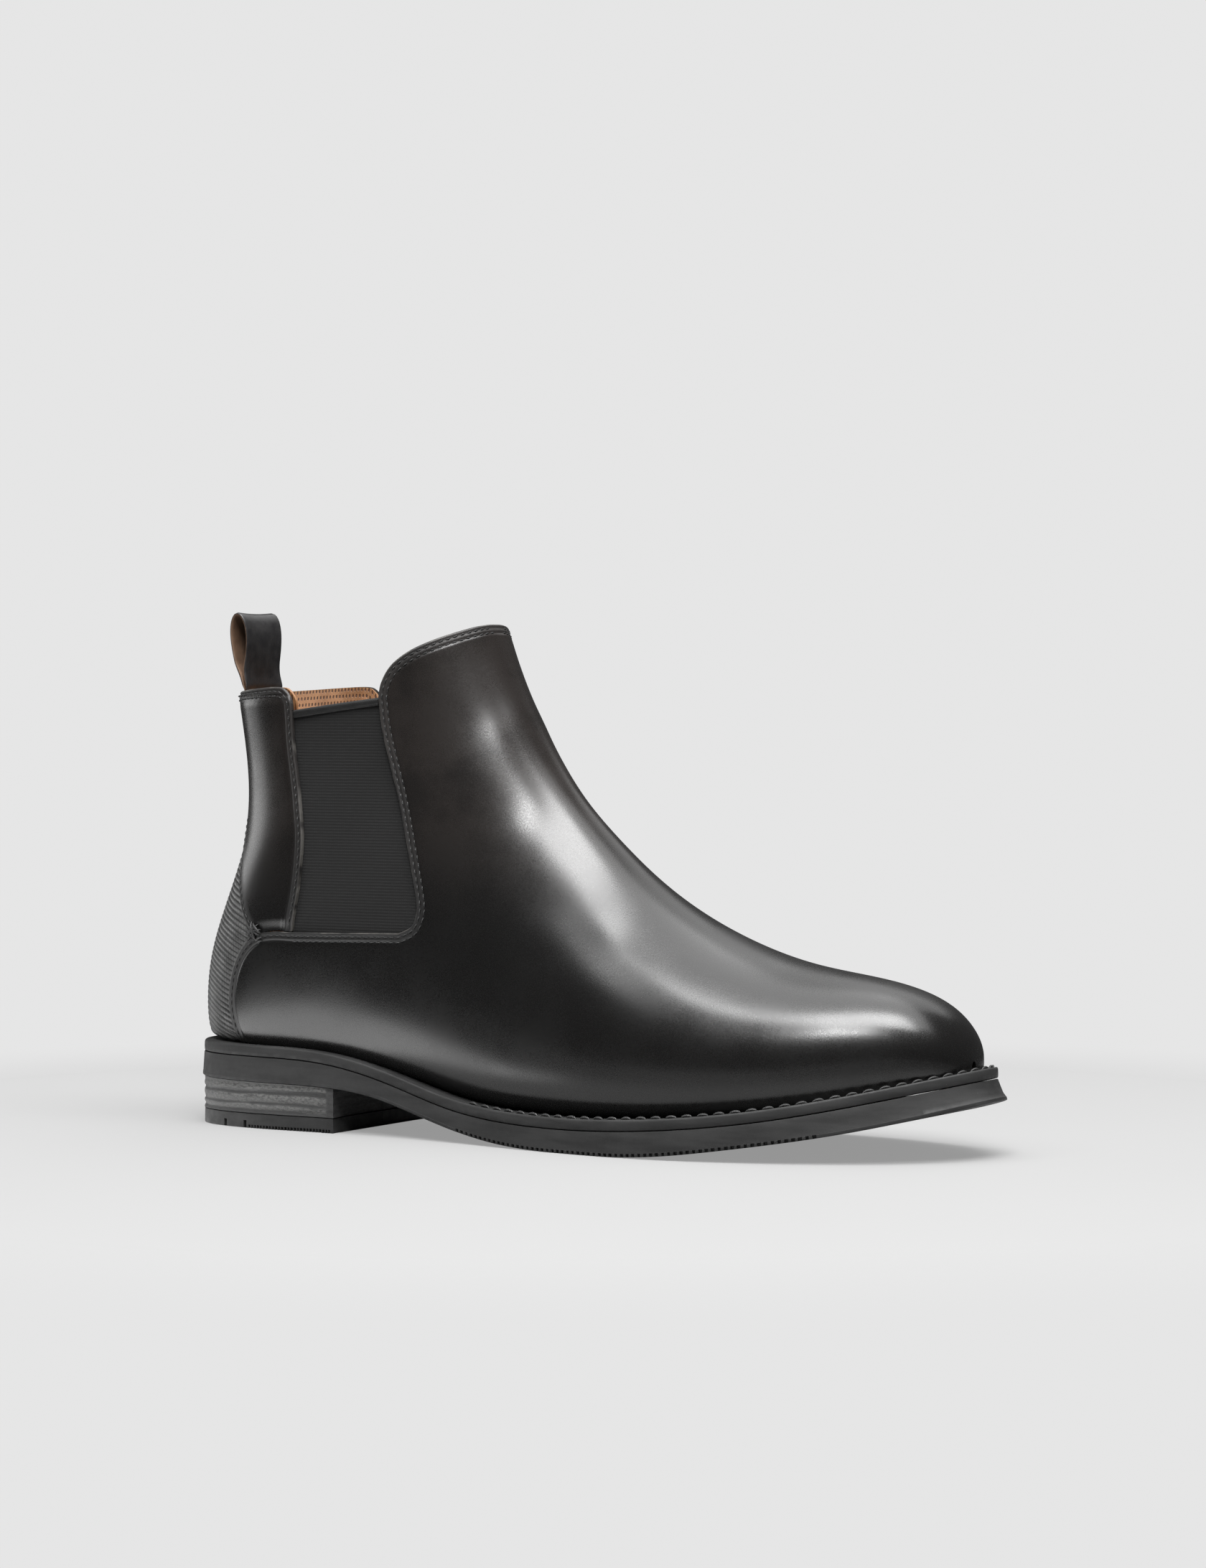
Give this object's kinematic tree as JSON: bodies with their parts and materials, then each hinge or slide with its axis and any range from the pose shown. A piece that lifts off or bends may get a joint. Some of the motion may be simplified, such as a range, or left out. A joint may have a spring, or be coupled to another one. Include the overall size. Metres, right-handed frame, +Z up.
{
  "type": "chelsea boot",
  "caption": "Ankle-high slip-on boot with elastic side gores, a pull loop at the back, a polished plain-toe leather upper and a low block heel.",
  "frame": {"origin": "on the ground under the middle of the boot's box", "axes": "+X to the toe, +Y to the inner (medial) side of the right foot, +Z up"},
  "size_m": [0.3086, 0.106, 0.1831],
  "materials": {
    "polished_leather": "smooth black calf, polished, satin gloss",
    "ribbed_leather": "black leather embossed with fine horizontal ribs",
    "elastic": "matt black woven elastic with fine ribs",
    "woven_tape": "matt black folded tape",
    "thread": "black waxed thread",
    "lining_leather": "natural tan leather, perforated in the quarters",
    "fibre_board": "matt pressed fibre board",
    "pull_webbing": "black strip with a brown inner face",
    "foam": "matt latex foam",
    "steel": "plain rolled steel",
    "cork": "granulated cork",
    "sole_rubber": "dark grey moulded rubber, satin",
    "heel_stack": "dark grey with paler brushed bands"
  },
  "bodies": {
    "root": {"vamp": "polished_leather", "heel_cover": "ribbed_leather", "quarter_lateral": "polished_leather", "quarter_medial": "polished_leather", "gore_lateral": "elastic", "gore_medial": "elastic", "gore_binding_lateral": "woven_tape", "gore_binding_medial": "woven_tape", "topline_tape_lateral": "woven_tape", "topline_tape_medial": "woven_tape", "topline_tape_front": "woven_tape", "bartack_lateral": "thread", "bartack_medial": "thread", "vamp_lining": "lining_leather", "quarter_lining": "lining_leather", "toe_puff": "fibre_board", "heel_stiffener": "fibre_board", "insole_board": "fibre_board", "pull_loop_tails": "pull_webbing", "heel_cushion": "foam", "sock_liner": "lining_leather", "shank": "steel", "cork_filler": "cork", "welt": "sole_rubber", "welt_stitching": "thread", "outsole": "sole_rubber", "heel_block": "heel_stack", "top_lift": "sole_rubber", "heel_nail_1": "steel", "heel_nail_2": "steel", "heel_nail_3": "steel", "heel_nail_4": "steel"},
    "pull_loop": {"pull_loop": "pull_webbing"}
  },
  "joints": [
    {"name": "pull_loop_fold", "type": "hinge", "parent": "root", "child": "pull_loop", "pos_m": [-0.1382, -0.00063, 0.1573], "axis": [0, 1, 0], "range_deg": [-75, 75], "stiffness_Nm_per_rad": 0.004}
  ]
}
